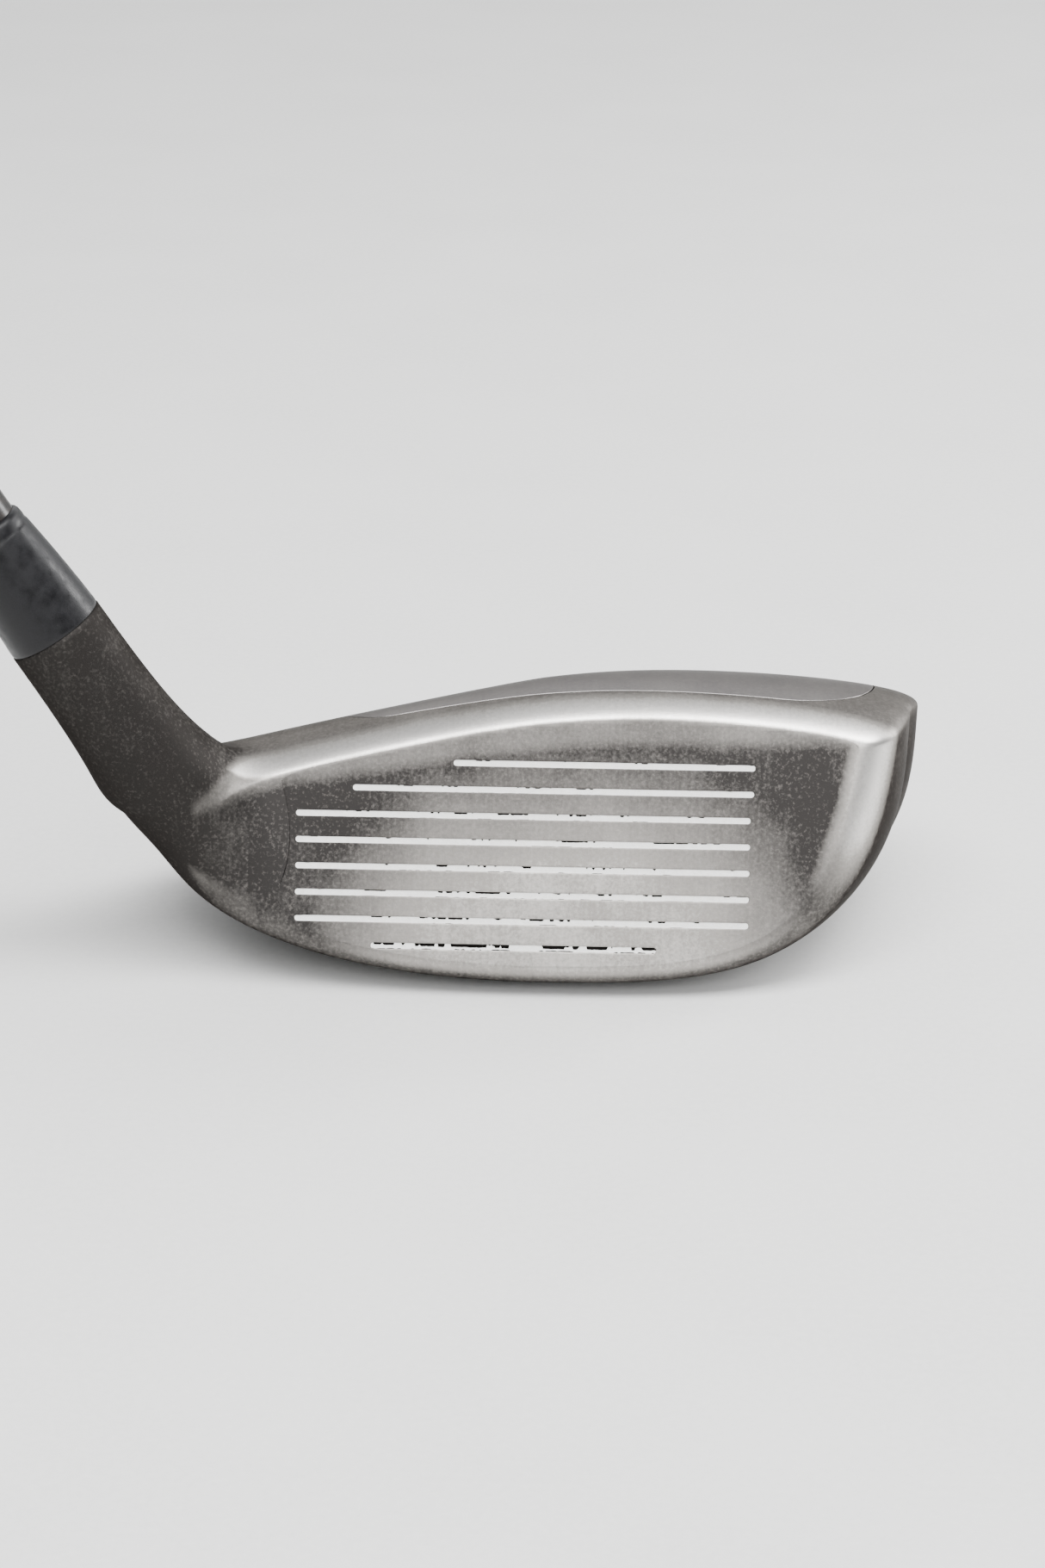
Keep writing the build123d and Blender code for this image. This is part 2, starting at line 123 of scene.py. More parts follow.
@dataclass
class Patch:
    """A triangle mesh in millimetres.

    Attributes:
        points: Vertex places, one row each.
        faces: Vertex numbers, three per row, turning left seen from outside.
    """

    points: np.ndarray
    faces: np.ndarray

    @staticmethod
    def from_grid(points: np.ndarray, closed: bool) -> "Patch":
        """Two triangles for each cell of a grid of points.

        Args:
            points: Rows by columns by three. A row whose points coincide becomes one vertex.
            closed: Whether the last column joins the first.

        Returns:
            The patch, facing along row direction times column direction.
        """
        rows, columns = points.shape[:2]
        index = np.arange(rows * columns).reshape(rows, columns)
        pole = (np.ptp(points, axis=1) < 1.0e-6).all(axis=1)
        index[pole] = index[pole][:, :1]
        if closed:
            index = np.hstack([index, index[:, :1]])
        a, b, c, d = index[:-1, :-1], index[1:, :-1], index[1:, 1:], index[:-1, 1:]
        first = np.stack([a, b, c], axis=-1).reshape(-1, 3)
        second = np.stack([a, c, d], axis=-1).reshape(-1, 3)
        faces = np.vstack([first, second])
        whole = (faces != np.roll(faces, 1, axis=1)).all(axis=1)
        return Patch(points.reshape(-1, 3), faces[whole]).compact()

    def compact(self) -> "Patch":
        """The same patch without unused vertices."""
        used, index = np.unique(self.faces, return_inverse=True)
        return Patch(self.points[used], index.reshape(self.faces.shape))

    def normals(self) -> np.ndarray:
        """Unit vertex normals: the sum of the crossed edges of the faces around each vertex."""
        a, b, c = (self.points[self.faces[:, i]] for i in range(3))
        total = np.zeros_like(self.points)
        np.add.at(total, self.faces, np.cross(b - a, c - a)[:, None, :])
        return total / np.maximum(np.linalg.norm(total, axis=1, keepdims=True), 1.0e-12)

    def trimmed(self, value: np.ndarray) -> tuple["Patch", np.ndarray]:
        """The part where a value given per vertex is below zero, cut exactly along its zero line.

        Args:
            value: One number per vertex.

        Returns:
            The trimmed patch, and the edges of the cut as pairs of vertex numbers.
        """
        inside = value < 0
        count = inside[self.faces].sum(axis=1)
        mixed = self.faces[(count == 1) | (count == 2)]
        alone = inside[mixed].sum(axis=1) == 1
        odd = np.where(alone[:, None], inside[mixed], ~inside[mixed]).argmax(axis=1)
        turned = np.take_along_axis(mixed, (odd[:, None] + np.arange(3)) % 3, axis=1)
        edges = np.sort(np.stack([turned[:, [0, 1]], turned[:, [0, 2]]], axis=1), axis=-1)
        crossed, where = np.unique(edges.reshape(-1, 2), axis=0, return_inverse=True)
        where = where.reshape(-1, 2) + len(self.points)
        start, end = crossed.T
        share = value[start] / (value[start] - value[end])
        added = self.points[start] + share[:, None] * (self.points[end] - self.points[start])
        one, two = alone, ~alone
        small = np.column_stack([turned[one, 0], where[one]])
        wide = np.column_stack([where[two, 0], turned[two, 1], turned[two, 2]])
        rest = np.column_stack([where[two, 0], turned[two, 2], where[two, 1]])
        rim = np.vstack([where[one], where[two][:, ::-1]])
        faces = np.vstack([self.faces[count == 3], small, wide, rest])
        return Patch(np.vstack([self.points, added]), faces), rim

    def with_lip(self, rim: np.ndarray, chamfer: float, depth: float) -> "Patch":
        """Adds a small chamfer and a wall that goes down from the edges of a cut.

        Args:
            rim: Edges of the cut, as pairs of vertex numbers.
            chamfer: Width and height of the chamfer.
            depth: Height of the wall below it.

        Returns:
            The patch with its lip, whose first row has vertices of its own.
        """
        ends, pair = np.unique(rim, return_inverse=True)
        pair = pair.reshape(-1, 2)
        place, normal = self.points[ends], self.normals()[ends]
        along = place[pair[:, 1]] - place[pair[:, 0]]
        away = np.zeros_like(place)
        np.add.at(away, pair, np.cross(along, normal[pair[:, 0]])[:, None, :])
        away /= np.maximum(np.linalg.norm(away, axis=1, keepdims=True), 1.0e-12)
        corner = place + chamfer * (away - normal)
        rows = [place, corner, corner, corner - depth * normal]
        base = len(self.points) + len(ends) * np.arange(len(rows))
        walls = []
        for upper, lower in ((0, 1), (2, 3)):
            a, b = pair[:, 0], pair[:, 1]
            walls.append(np.column_stack([b + base[upper], a + base[upper], a + base[lower]]))
            walls.append(np.column_stack([b + base[upper], a + base[lower], b + base[lower]]))
        return Patch(np.vstack([self.points, *rows]), np.vstack([self.faces, *walls]))

    def to_object(self, name: str, sharp: float = 50.0) -> bpy.types.Object:
        """Writes the patch as a smooth-shaded object in metres.

        Args:
            name: Object name.
            sharp: Edges that turn by more than this many degrees stay sharp.

        Returns:
            The linked object, at the origin.
        """
        clean = self.compact()
        mesh = bpy.data.meshes.new(name)
        mesh.from_pydata((clean.points * MM).tolist(), [], clean.faces.tolist())
        mesh.shade_smooth()
        mesh.set_sharp_from_angle(angle=math.radians(sharp))
        made = bpy.data.objects.new(name, mesh)
        bpy.context.scene.collection.objects.link(made)
        log.info("%s: %d triangles", name, len(clean.faces))
        return made


def places(piece: bpy.types.Object) -> np.ndarray:
    """Vertex places of an object's mesh in millimetres."""
    flat = np.zeros(len(piece.data.vertices) * 3, np.float32)
    piece.data.vertices.foreach_get("co", flat)
    return flat.reshape(-1, 3).astype(float) / MM


def store(piece: bpy.types.Object, name: str, values: np.ndarray) -> None:
    """Keeps one number per vertex as an attribute that a material reads."""
    attribute = piece.data.attributes.new(name, "FLOAT", "POINT")
    attribute.data.foreach_set("value", values.astype(np.float32))


def stand_for(piece: bpy.types.Object, node: str, material: bpy.types.Material) -> None:
    """The piece replaces a CAD node, rides on the club and wears a material."""
    piece.data.materials.append(material)
    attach(piece, "root")
    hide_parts(node)


# ------------------------------------------------------------------ materials
COORDINATES, ATTRIBUTE, BUMP = "ShaderNodeTexCoord", "ShaderNodeAttribute", "ShaderNodeBump"
NOISE, MATH, MIX, RANGE = "ShaderNodeTexNoise", "ShaderNodeMath", "ShaderNodeMix", "ShaderNodeMapRange"


def srgb(code: str) -> tuple[float, float, float, float]:
    """Linear colour of a six-digit hex code."""
    shares = [int(code[i : i + 2], 16) / 255 for i in (1, 3, 5)]
    return (*(s / 12.92 if s <= 0.04045 else ((s + 0.055) / 1.055) ** 2.4 for s in shares), 1.0)


def fill(tree: bpy.types.NodeTree, node: bpy.types.Node, inputs: dict) -> None:
    """Sets inputs of a node.

    Args:
        tree: The node's tree.
        node: The node.
        inputs: By input name or number: a value, an output socket, or a node whose first output is linked.
    """
    for name, value in inputs.items():
        source = value.outputs[0] if isinstance(value, bpy.types.Node) else value
        if isinstance(source, bpy.types.NodeSocket):
            tree.links.new(source, node.inputs[name])
        else:
            node.inputs[name].default_value = source


def add(tree: bpy.types.NodeTree, kind: str, inputs: dict | None = None, **settings: Any) -> bpy.types.Node:
    """Adds one node.

    Args:
        tree: Where it goes.
        kind: Node type name.
        inputs: What its inputs hold, as for fill.
        settings: Properties of the node itself.

    Returns:
        The new node.
    """
    node = tree.nodes.new(kind)
    for name, value in settings.items():
        setattr(node, name, value)
    fill(tree, node, inputs or {})
    return node


def new_material(name: str) -> tuple[bpy.types.Material, bpy.types.NodeTree, bpy.types.Node]:
    """A new material, its node tree and its surface node."""
    material = bpy.data.materials.new(name)
    material.use_nodes = True
    return material, material.node_tree, material.node_tree.nodes["Principled BSDF"]


@dataclass(frozen=True)
class Finish:
    """A material: a base colour broken by grain, with fine relief.

    Attributes:
        name: Real material and how it was made.
        colour: Main colour.
        second: Colour that the grain mixes in.
        roughness: Middle roughness.
        spread: How far the grain moves the roughness.
        grain_mm: Size of the larger grain.
        relief_mm: Size of the fine relief.
        relief: Strength of the fine relief.
        metallic: 1 for a bare metal.
        ior: Index of refraction of a non-metal.
        coat: Weight of a clear coat over it.
    """

    name: str
    colour: str
    second: str
    roughness: float = 0.5
    spread: float = 0.1
    grain_mm: float = 2.0
    relief_mm: float = 0.3
    relief: float = 0.15
    metallic: float = 0.0
    ior: float = 1.5
    coat: float = 0.0

    def build(self) -> bpy.types.Material:
        """Makes the material from two sizes of noise in object coordinates."""
        material, tree, surface = new_material(self.name)
        place = add(tree, COORDINATES).outputs["Object"]
        grain = add(tree, NOISE, {"Vector": place, "Scale": 1 / (self.grain_mm * MM), "Detail": 6.0})
        fine = add(tree, NOISE, {"Vector": place, "Scale": 1 / (self.relief_mm * MM), "Detail": 3.0})
        both = add(tree, MATH, {0: grain, 1: fine}, operation="MULTIPLY")
        share = add(tree, RANGE, {"Value": both, "From Min": 0.12, "From Max": 0.42})
        colours = {"Factor": share, 6: srgb(self.colour), 7: srgb(self.second)}
        least, most = self.roughness - self.spread, self.roughness + self.spread
        limits = {"From Min": 0.3, "From Max": 0.7, "To Min": least, "To Max": most}
        relief = {"Height": fine, "Strength": self.relief, "Distance": self.relief_mm * MM}
        fill(tree, surface, {
            "Base Color": add(tree, MIX, colours, data_type="RGBA").outputs[2],
            "Roughness": add(tree, RANGE, {"Value": grain, **limits}),
            "Normal": add(tree, BUMP, relief),
            "Metallic": self.metallic,
            "IOR": self.ior,
            "Coat Weight": self.coat,
            "Coat Roughness": 0.12,
        })
        return material


@dataclass(frozen=True)
class WornPlating:
    """Satin plating over cast steel, rubbed through to the bare metal where the wear_and_highlight attribute is
    high, with a painted highlight where it passes 1.

    Attributes:
        name: Real material and how it was made.
        plating: Colour of the plating.
        pale: Colour of the rubbed speckles in the plating.
        bare: Colour of the metal under it.
        polished_and_highlight: Colour of the metal at a wear above 1: partly metal polished by hands and bag,
            partly a painted highlight along the face's top rim.
        painted_darkening: Colour of the painted darkening: painted shade on the heel and hosel, and a darker
            tone down in the score lines.
        plating_rough: Roughness of the plating.
        bare_rough: Roughness of the rubbed metal.
        speckle_mm: Size of the speckles.
        cloud_mm: Size of the uneven edge of the wear.
        streak_mm: Width of the rubbing streaks that run up the face.
        relief_mm: Size of the blasted relief.
    """

    name: str
    plating: str = "#3A3837"
    pale: str = "#67625F"
    bare: str = "#ABA7A2"
    polished_and_highlight: str = "#F0EDE9"
    painted_darkening: str = "#2A2826"
    plating_rough: float = 0.40
    bare_rough: float = 0.36
    speckle_mm: float = 0.45
    cloud_mm: float = 9.0
    streak_mm: float = 0.5
    relief_mm: float = 0.16

    def build(self) -> bpy.types.Material:
        """Mixes plating and bare metal by the wear_and_highlight attribute, broken by speckles, clouds and
        streaks; its near-white top end is partly a painted highlight.
        """
        material, tree, surface = new_material(self.name)
        place = add(tree, COORDINATES).outputs["Object"]
        wear_and_highlight = add(tree, ATTRIBUTE, attribute_name="wear_and_highlight").outputs["Fac"]
        # painted darkening: painted shade towards the heel and hosel, and a darker tone down in the score lines
        darkening_mask = add(tree, ATTRIBUTE, attribute_name="painted_darkening").outputs["Fac"]
        crisp = {"Detail": 4.0, "Roughness": 0.65}
        speckle = add(tree, NOISE, {"Vector": place, "Scale": 1 / (self.speckle_mm * MM), **crisp})
        cloud = add(tree, NOISE, {"Vector": place, "Scale": 1 / (self.cloud_mm * MM), "Detail": 5.0})
        squeeze = add(tree, "ShaderNodeMapping", {"Vector": place, "Scale": (1.0, 0.08, 0.06)})
        streak = add(tree, NOISE, {"Vector": squeeze, "Scale": 1 / (self.streak_mm * MM), "Detail": 3.0})
        fine = add(tree, NOISE, {"Vector": place, "Scale": 1 / (self.relief_mm * MM), "Detail": 2.0})

        # the edge of the wear and its painted highlight is moved to and fro by each noise, about its middle
        # value
        edge = wear_and_highlight
        for noise, reach in ((cloud, 0.45), (streak, 0.16), (speckle, 0.50)):
            shift = add(tree, MATH, {0: noise, 1: reach, 2: -reach / 2}, operation="MULTIPLY_ADD")
            edge = add(tree, MATH, {0: edge, 1: shift}, operation="ADD")
        specks = add(tree, RANGE, {"Value": speckle, "From Min": 0.54, "From Max": 0.84})
        rubbed = add(tree, RANGE, {"Value": edge, "From Min": 0.0, "From Max": 1.0})
        # near-white above 0.9: partly polish, partly a painted highlight on the top rim
        polish_and_highlight = add(tree, RANGE, {"Value": edge, "From Min": 0.9, "From Max": 1.5})

        # pale specks in the plating, then bare metal, polished metal that is partly a painted highlight, and
        # painted darkening over it
        colour = srgb(self.plating)
        layers = ((specks, self.pale), (rubbed, self.bare), (polish_and_highlight, self.polished_and_highlight), (darkening_mask, self.painted_darkening))
        for share, code in layers:
            mixed = add(tree, MIX, {"Factor": share, 6: colour, 7: srgb(code)}, data_type="RGBA")
            colour = mixed.outputs[2]
        rough = add(tree, RANGE, {"Value": rubbed, "To Min": self.plating_rough, "To Max": self.bare_rough})
        for share, change in ((polish_and_highlight, -0.10), (speckle, 0.12), (darkening_mask, 0.4)):
            rough = add(tree, MATH, {0: share, 1: change, 2: rough}, operation="MULTIPLY_ADD")
        height = add(tree, MATH, {0: speckle, 1: 0.6, 2: fine}, operation="MULTIPLY_ADD")
        relief = {"Height": height, "Strength": 0.10, "Distance": self.relief_mm * MM}
        fill(tree, surface, {
            "Base Color": colour,
            "Roughness": rough,
            "Normal": add(tree, BUMP, relief),
            "Metallic": 1.0,
            "Specular Tint": srgb("#A3A2A1"),
        })
        return material


@dataclass(frozen=True)
class WoundGraphite:
    """Wound carbon fibre under a clear coat: fine fibres that run round the tube at a slant, shown as bands of
    painted glint.

    Attributes:
        name: Real material and how it was made.
        fibre: Colour of the fibres between the painted glints.
        painted_glint: Colour of the painted glint where a fibre would catch light.
        tow_mm: Width of a bundle of fibres.
    """

    name: str = "graphite_wound_clearcoat"
    fibre: str = "#121110"
    painted_glint: str = "#2A2624"
    tow_mm: float = 1.6

    def build(self) -> bpy.types.Material:
        """A sine of the slanted distance along the tube, broken by noise, as bands of painted glint under a
        coat.
        """
        material, tree, surface = new_material(self.name)
        along = add(tree, ATTRIBUTE, attribute_name="along").outputs["Fac"]
        around = add(tree, ATTRIBUTE, attribute_name="around").outputs["Fac"]
        place = add(tree, COORDINATES).outputs["Object"]
        slanted = add(tree, MATH, {0: around, 1: 4 * self.tow_mm, 2: along}, operation="MULTIPLY_ADD")
        wave = add(tree, MATH, {0: slanted, 1: 2 * math.pi / self.tow_mm}, operation="MULTIPLY")
        # painted glint: the sine bands lighten the colour where the tows would catch the light
        tow = add(tree, MATH, {0: wave}, operation="SINE")
        grain = add(tree, NOISE, {"Vector": place, "Scale": 1 / (0.35 * MM), "Detail": 4.0})
        broken = add(tree, MATH, {0: tow, 1: 0.16, 2: grain}, operation="MULTIPLY_ADD")
        share = add(tree, RANGE, {"Value": broken, "From Min": 0.3, "From Max": 0.8})
        colours = {"Factor": share, 6: srgb(self.fibre), 7: srgb(self.painted_glint)}
        fill(tree, surface, {
            "Base Color": add(tree, MIX, colours, data_type="RGBA").outputs[2],
            "Roughness": 0.34,
            "IOR": 1.33,
            "Coat Weight": 0.15,
            "Coat Roughness": 0.14,
        })
        return material


# cast stainless steel, blasted and plated dark, rubbed on edges and given a painted highlight along the top
# rim: soft wide highlights
CAST_STEEL = WornPlating("steel_cast_blasted_plated")
# the face is rolled plate with the same plating, rubbed nearly bare by play low in the middle
FACE_STEEL = WornPlating("steel_rolled_milled_plated")
# the crown has the finest, least rubbed plating, a little bluer; it is set much lighter than the body's
# plating, partly a painted lightening of the top where the overhead light falls
CROWN_STEEL_LIGHTENED = WornPlating("steel_pressed_plated_lightened", "#706E71", "#7D7B7E", plating_rough=0.34)
# white enamel pressed into the lines: matt, slightly dirty
LINE_PAINT = Finish("enamel_filled_wiped", "#FAFAF8", "#E9E8E4", 0.55, 0.1, 0.8, relief_mm=0.12, relief=0.1)
# turned cellulose plastic: deep black, with a soft sheen and scuffs
FERRULE = Finish(
    "plastic_turned_satin", "#0C0C0E", "#161619", 0.40, grain_mm=1.5, relief_mm=0.1, relief=0.12, ior=1.34
)
# vulcanised rubber: dull black with a faint bloom
RUBBER = Finish("rubber_moulded_matt", "#161616", "#262626", 0.72, grain_mm=3.0, relief_mm=0.2, relief=0.3)
# harder rubber: a little smoother than the grip
CAP_RUBBER = Finish("rubber_moulded_hard", "#131313", "#222222", 0.62, relief_mm=0.25, relief=0.25)
# pieces inside the club
WEIGHT = Finish("steel_sawn_bare", "#8F8E8C", "#6F6E6C", roughness=0.42, metallic=1.0, relief_mm=0.25)
HOT_MELT = Finish("hot_melt_poured", "#D9CBA3", "#BBA878", roughness=0.45, grain_mm=4.0, relief_mm=0.8)
PLUG = Finish("plastic_moulded_black", "#2A2A2A", "#3B3B3B", roughness=0.5)
EPOXY = Finish("epoxy_cured_amber", "#B59A5A", "#8F7436", roughness=0.25, relief_mm=0.5)
BRASS = Finish("brass_turned_bare", "#C9A45A", "#A5823D", roughness=0.3, metallic=1.0, relief_mm=0.12)
TAPE = Finish("tape_paper_double_sided", "#D8CCB0", "#BFB08D", 0.8, grain_mm=1.2, relief_mm=0.15, relief=0.4)


# ------------------------------------------------------------------ the shaft's line
class ShaftLine:
    """The common axis of hosel, ferrule, shaft and grip, taken from the record's grip mount.

    Attributes:
        direction: Unit vector from the head to the grip.
        foot: Where the axis meets the ground, in millimetres.
        side: Unit vector square to the axis, in its upright plane.
    """

    def __init__(self) -> None:
        """Reads the place and axis of the grip's mount."""
        mount = next(m for m in frame["record"]["mounts"] if m["name"] == "grip_hold")
        axis = np.array(mount["axis"], float)
        self.direction = axis / np.linalg.norm(axis)
        place = np.array(mount["pos_m"], float) / MM
        self.foot = place - place[2] / self.direction[2] * self.direction
        self.side = np.cross(BACKWARD, self.direction)

    def span(self, node: str) -> tuple[float, float]:
        """First and last distance of a CAD node along the axis, in millimetres."""
        along = (places(frame["nodes"][node]) - self.foot) @ self.direction
        return float(along.min()), float(along.max())

    def turned(self, along: np.ndarray, radius: np.ndarray) -> Patch:
        """A surface of revolution whose radius may change round the axis.

        Args:
            along: Distance along the axis for each row of the profile.
            radius: Radius for each row, or for each row and column.

        Returns:
            The patch, facing outward where the profile runs up the axis.
        """
        columns = radius.shape[1]
        turn = np.linspace(0.0, 2 * np.pi, columns, endpoint=False)
        spoke = np.cos(turn)[:, None] * self.side - np.sin(turn)[:, None] * BACKWARD
        centre = self.foot + along[:, None] * self.direction
        grid = centre[:, None, :] + radius[..., None] * spoke[None, :, :]
        return Patch.from_grid(grid[:, ::-1], closed=True)

    def solid_of(self, profile: Sequence[tuple[float, float]], columns: int, rounding: float) -> Patch:
        """A closed solid of revolution.

        Args:
            profile: Corners as radius and distance, starting and ending at the same corner.
            columns: Points round the axis.
            rounding: Length taken off each corner by a small curve.

        Returns:
            The patch.
        """
        corners = np.array(profile, float)[:-1]
        before, after = np.roll(corners, 1, axis=0), np.roll(corners, -1, axis=0)
        back, ahead = before - corners, after - corners
        length_back = np.linalg.norm(back, axis=1, keepdims=True)
        length_ahead = np.linalg.norm(ahead, axis=1, keepdims=True)
        reach = np.minimum(rounding, 0.4 * np.minimum(length_back, length_ahead))
        first = corners + reach * back / length_back
        last = corners + reach * ahead / length_ahead
        share = np.linspace(0.0, 1.0, 7)[None, :, None]
        ends = (1 - share) ** 2 * first[:, None] + share**2 * last[:, None]
        path = (ends + 2 * share * (1 - share) * corners[:, None]).reshape(-1, 2)
        path = np.vstack([path, path[:1]])
        return self.turned(path[:, 1], np.repeat(path[:, :1], columns, axis=1))


# ------------------------------------------------------------------ head
@dataclass(frozen=True)
class HeadShape:
    """The head's outside as one formula: a rounded box of power curves, cut by the face, joined to the hosel.

    All sizes are millimetres. Reaches run from the widest section, powers set how square each side is.
    """

    loft: float = 21.5
    face_y: float = -26.0
    mid_x: float = 3.1
    toe_reach: float = 50.0
    heel_reach: float = 52.0
    back_reach: float = 31.5
    front_reach: float = 39.7
    toe_taper: float = 0.30
    toe_taper_y: float = -1.0
    toe_taper_start: float = 6.0
    back_skew: float = 0.25
    rim_height: float = 32.1
    rim_lowest: float = 13.0
    rim_heel_fall: float = 0.17
    rim_heel_x: float = 6.2
    rim_back_fall: float = 0.011
    rim_back_heel: float = 0.001
    rim_back_y: float = -7.0
    rim_heel_start: float = 15.0
    rim_lowest_start: float = 8.0
    crown_rise: float = 6.2
    toe_power: float = 3.0
    heel_power: float = 2.0
    back_power: float = 2.5
    sole_power: float = 3.3
    sole_dome: float = 1.2
    crown_power: float = 2.4
    crown_dome: float = 0.52
    edge_radius: float = 4.0
    leading_radius: float = 2.8
    leading_heights: tuple[float, float] = (8.0, 24.0)
    keel_flat: float = 0.15
    hosel_radius: float = 6.6
    hosel_foot: float = 34.0
    hosel_end: float = 1.7
    hosel_blend: float = 13.5
    crown_inset: float = 6.0
    crown_seam_y: float = -7.2
    crown_heel_x: float = -26.0
    crown_corner: float = 9.0
    crown_cut_height: float = 21.0
    crown_cut_tilt: float = 17.0
    plate_hosel_gap: float = 7.9
    plate_corner: float = 4.0

    def rim(self, x: np.ndarray, y: np.ndarray) -> np.ndarray:
        """Height of the widest line: falls evenly to the heel and with the square of y to the back."""
        heel = ramp(self.rim_heel_x - x, self.rim_heel_start)
        back = np.maximum(y - self.rim_back_y, 0.0)
        fall = self.rim_heel_fall * heel + (self.rim_back_fall + self.rim_back_heel * heel) * back**2
        return self.rim_lowest + ramp(self.rim_height - fall - self.rim_lowest, self.rim_lowest_start)

    def plan(self, x: np.ndarray, y: np.ndarray, inset: float) -> np.ndarray:
        """1 on the outline in plan: x over its reach and y over its reach, each to its power, added up."""
        dx = x - self.mid_x - self.back_skew * np.maximum(y, 0.0)
        toe = self.toe_reach - self.toe_taper * ramp(self.toe_taper_y - y, self.toe_taper_start)
        reach_x = np.where(dx > 0, toe, self.heel_reach) - inset
        reach_y = np.where(y > 0, self.back_reach, self.front_reach) - inset
        across = (np.abs(dx) / reach_x) ** np.where(dx > 0, self.toe_power, self.heel_power)
        return across + (np.abs(y) / reach_y) ** self.back_power

    def power(self, p: np.ndarray) -> np.ndarray:
        """Plan to the dome power plus height over its reach to its power, then to one over the dome power.

        Args:
            p: Points.

        Returns:
            That sum less one, below zero inside the body.
        """
        rim = self.rim(p[..., 0], p[..., 1])
        dz = p[..., 2] + self.keel_flat - rim
        reach_z = np.where(dz > 0, self.crown_rise, rim)
        dome = np.where(dz > 0, self.crown_dome, self.sole_dome)
        total = self.plan(p[..., 0], p[..., 1], 0.0) ** dome
        total = total + (np.abs(dz) / reach_z) ** np.where(dz > 0, self.crown_power, self.sole_power)
        return total ** (1.0 / dome) - 1.0

    def body(self, p: np.ndarray) -> np.ndarray:
        """Distance to the body: the power sum over the length of its own slope."""
        here = self.power(p)
        slopes = [(self.power(p + step) - here) / 1.0e-3 for step in 1.0e-3 * np.eye(3)]
        return here / np.maximum(np.sqrt(sum(slope**2 for slope in slopes)), 1.0 / 40.0)

    def hosel(self, p: np.ndarray, line: ShaftLine) -> np.ndarray:
        """Distance to the round hosel, which ends in a long ball inside the heel."""
        away = p - line.foot
        along = away @ line.direction
        off_axis = away - along[..., None] * line.direction
        below = np.minimum(along - self.hosel_foot, 0.0) / self.hosel_end
        return np.sqrt((off_axis**2).sum(axis=-1) + below**2) - self.hosel_radius

    @property
    def face_normal(self) -> np.ndarray:
        """Unit vector out of the face."""
        return np.array([0.0, -math.cos(math.radians(self.loft)), math.sin(math.radians(self.loft))])

    @property
    def face_up(self) -> np.ndarray:
        """Unit vector up the face."""
        return np.array([0.0, math.sin(math.radians(self.loft)), math.cos(math.radians(self.loft))])

    @property
    def face_origin(self) -> np.ndarray:
        """Where the face plane meets the ground."""
        return np.array([0.0, self.face_y, 0.0])

    def face(self, p: np.ndarray) -> np.ndarray:
        """Distance in front of the face plane."""
        return (p - self.face_origin) @ self.face_normal

    def rounding(self, z: np.ndarray) -> np.ndarray:
        """Rounding of the face's rim, tighter along the leading edge."""
        low, high = self.leading_heights
        share = smooth_step((z - low) / (high - low))
        return self.leading_radius + (self.edge_radius - self.leading_radius) * share

    def outside(self, p: np.ndarray, line: ShaftLine) -> np.ndarray:
        """Distance to the whole head."""
        cut = rounded_cut(self.body(p), self.face(p), self.rounding(p[..., 2]))
        return blended_join(cut, self.hosel(p, line), self.hosel_blend)

    def plate_limit(self, p: np.ndarray, line: ShaftLine) -> np.ndarray:
        """Below zero on the flat of the face, clear of its rounded rim and of the hosel."""
        rim = self.body(p) + self.rounding(p[..., 2])
        return rounded_cut(rim, self.plate_hosel_gap - self.hosel(p, line), self.plate_corner)

    def crown_limit(self, p: np.ndarray) -> np.ndarray:
        """Below zero inside the crown plate's outline, on the upper side of the head."""
        plan = self.plan(p[..., 0], p[..., 1], self.crown_inset)
        rim = (plan ** (1.0 / self.back_power) - 1.0) * self.back_reach
        front = rounded_cut(rim, self.crown_seam_y - p[..., 1], self.crown_corner)
        outline = rounded_cut(front, self.crown_heel_x - p[..., 0], self.crown_corner)
        slope = self.crown_cut_height - math.tan(math.radians(self.crown_cut_tilt)) * p[..., 1]
        return np.maximum(outline, slope - p[..., 2])


@dataclass(frozen=True)
class ScoreLine:
    """One milled line of the face.

    Attributes:
        left: Heel end, across the face.
        right: Toe end.
        height: Distance up the face.
        damage: How much of its paint has chipped away, 0 to 1.
    """

    left: float
    right: float
    height: float
    damage: float

    def off(self, u: np.ndarray, v: np.ndarray, half: float) -> np.ndarray:
        """Distance from the line's middle segment, which stops half a width short of each end."""
        beside = np.maximum(np.maximum(self.left + half - u, u - self.right + half), 0.0)
        return np.hypot(beside, v - self.height)


